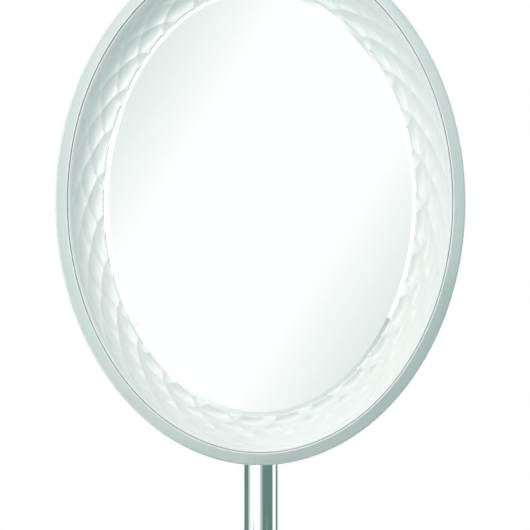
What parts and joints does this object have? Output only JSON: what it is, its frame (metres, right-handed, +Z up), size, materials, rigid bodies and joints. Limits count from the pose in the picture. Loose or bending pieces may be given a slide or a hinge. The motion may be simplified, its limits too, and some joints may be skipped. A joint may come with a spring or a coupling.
{
  "type": "shaving mirror",
  "caption": "Oval shaving mirror with a quilted white bezel; it tilts and turns on a chrome stem that extends from a weighted round foot and is locked by a twist collar.",
  "frame": {"origin": "centre of the foot, on the table", "axes": "+Z up along the stem; the glass faces -Y; +X is to the right of someone who looks at the glass"},
  "size_m": [0.209, 0.18, 0.494],
  "materials": {
    "chrome": "polished",
    "cast_iron": "rough, black paint",
    "rubber": "matt",
    "steel": "zinc plated",
    "nylon": "natural, matt",
    "white_shell": "satin moulded",
    "white_gloss": "high gloss",
    "board": "hard board, matt",
    "foam": "closed cell, matt",
    "silvering": "silvered",
    "glass": "polished, bevelled edge"
  },
  "bodies": {
    "base": {"base_cover": "chrome", "base_weight": "cast_iron", "base_pad": "rubber", "base_bolt": "steel", "base_washer": "steel", "base_ferrule": "chrome", "outer_tube": "chrome", "outer_tube_insert": "steel", "clamp_collet": "nylon"},
    "lock_ring": {"lock_collar": "chrome"},
    "upper_stem": {"inner_tube": "chrome", "lower_glide": "nylon", "tube_top_plug": "steel", "swivel_screw": "steel"},
    "swivel": {"swivel_fork": "chrome", "swivel_washer": "nylon", "tilt_bolt": "steel", "tilt_nut": "chrome", "tilt_spring_washer": "steel"},
    "head": {"hinge_bracket": "chrome", "friction_washers": "nylon", "bracket_screws": "steel", "stiffener_plate": "steel", "back_shell": "white_shell", "outer_rim": "white_gloss", "quilted_bezel": "white_gloss", "bezel_screws": "steel", "backing_board": "board", "foam_pad": "foam", "silver_layer": "silvering", "mirror_glass": "glass"}
  },
  "joints": [
    {"name": "height_slide", "type": "slide", "parent": "base", "child": "upper_stem", "axis": [0, 0, 1], "range_m": [0, 0.1]},
    {"name": "collar_twist", "type": "hinge", "parent": "base", "child": "lock_ring", "pos_m": [0, 0, 0.171], "axis": [0, 0, 1], "range_deg": [0, 90]},
    {"name": "head_swivel", "type": "hinge", "parent": "upper_stem", "child": "swivel", "pos_m": [0, 0, 0.34], "axis": [0, 0, 1], "continuous": true},
    {"name": "head_tilt", "type": "hinge", "parent": "swivel", "child": "head", "pos_m": [0, 0, 0.36], "axis": [-1, 0, 0], "range_deg": [-7, 60]}
  ]
}
